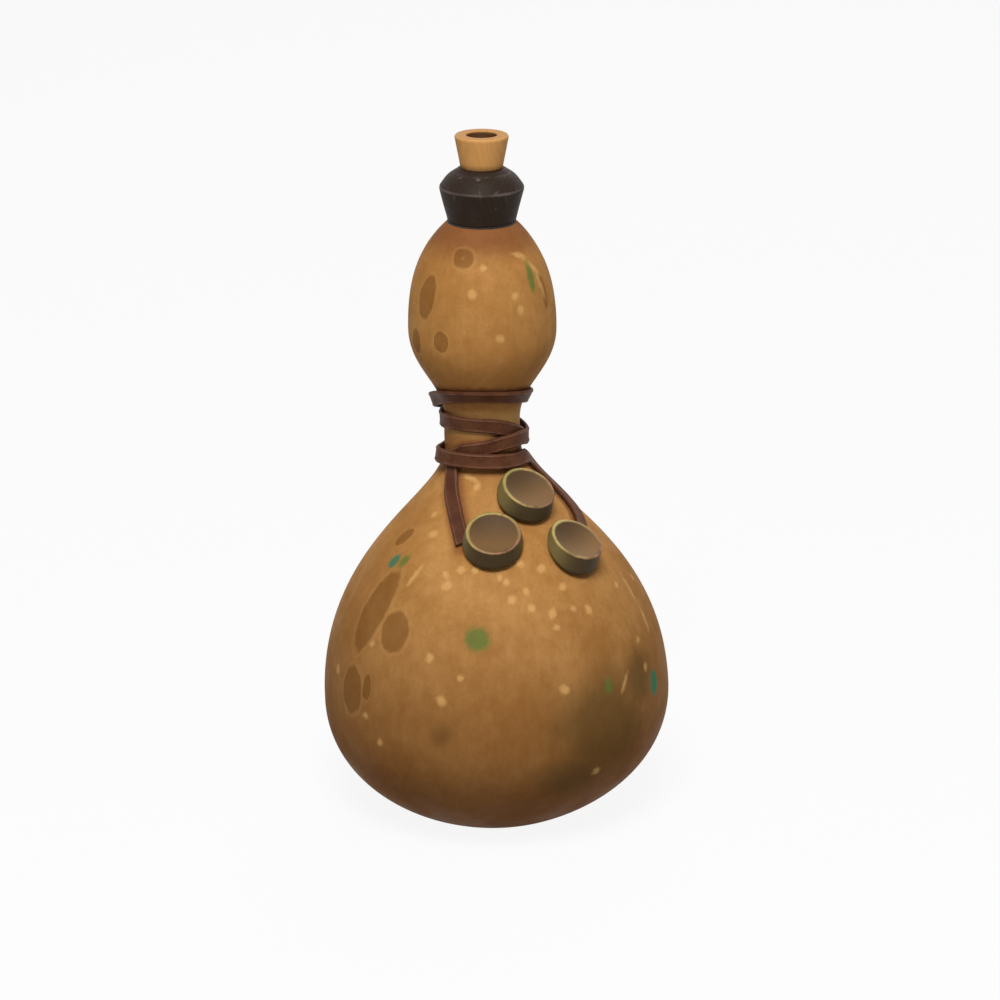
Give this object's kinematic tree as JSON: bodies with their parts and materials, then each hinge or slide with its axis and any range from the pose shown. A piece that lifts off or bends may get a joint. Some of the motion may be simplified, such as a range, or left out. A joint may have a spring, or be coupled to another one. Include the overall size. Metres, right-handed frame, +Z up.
{
  "type": "gourd water bottle",
  "caption": "Two-bulb gourd bottle with a crooked neck, dark turned collar, lift-out wooden stopper, leather thong round the waist and dished brass studs on the shoulder.",
  "frame": {"origin": "middle of the object's box on the plane it stands on, below the belly's centre", "axes": "+Z up along the bottle, -Y the front where the studs are, +X to the right seen from the front"},
  "size_m": [0.1378, 0.138, 0.2747],
  "materials": {
    "gourd": "dried, oiled and handled gourd skin, mottled, soft satin",
    "beeswax": "poured beeswax coat, dull",
    "dark_collar": "turned dark hardwood, lacquered, soft sheen",
    "pitch": "set pitch, dull black brown",
    "stopper_wood": "light turned wood, bare and handled",
    "waxed_thread": "waxed linen thread, wound tight",
    "thong_leather": "dark oiled leather with rubbed edges",
    "aged_brass": "dull aged brass, greenish sides and rubbed bright rim",
    "dowel_brass": "plain brass"
  },
  "bodies": {
    "bottle": {"gourd_shell": "gourd", "wax_lining": "beeswax", "mouth_collar": "dark_collar", "collar_bedding": "pitch", "waist_thong": "thong_leather", "boss_left": "aged_brass", "boss_top": "aged_brass", "boss_right": "aged_brass", "boss_bed_left": "pitch", "boss_bed_top": "pitch", "boss_bed_right": "pitch", "boss_pin_left": "dowel_brass", "boss_pin_top": "dowel_brass", "boss_pin_right": "dowel_brass"},
    "stopper": {"stopper": "stopper_wood", "stopper_packing": "waxed_thread"}
  },
  "joints": [
    {"name": "stopper_lift", "type": "slide", "parent": "bottle", "child": "stopper", "axis": [0, 0, 1], "range_m": [0, 0.04]}
  ]
}
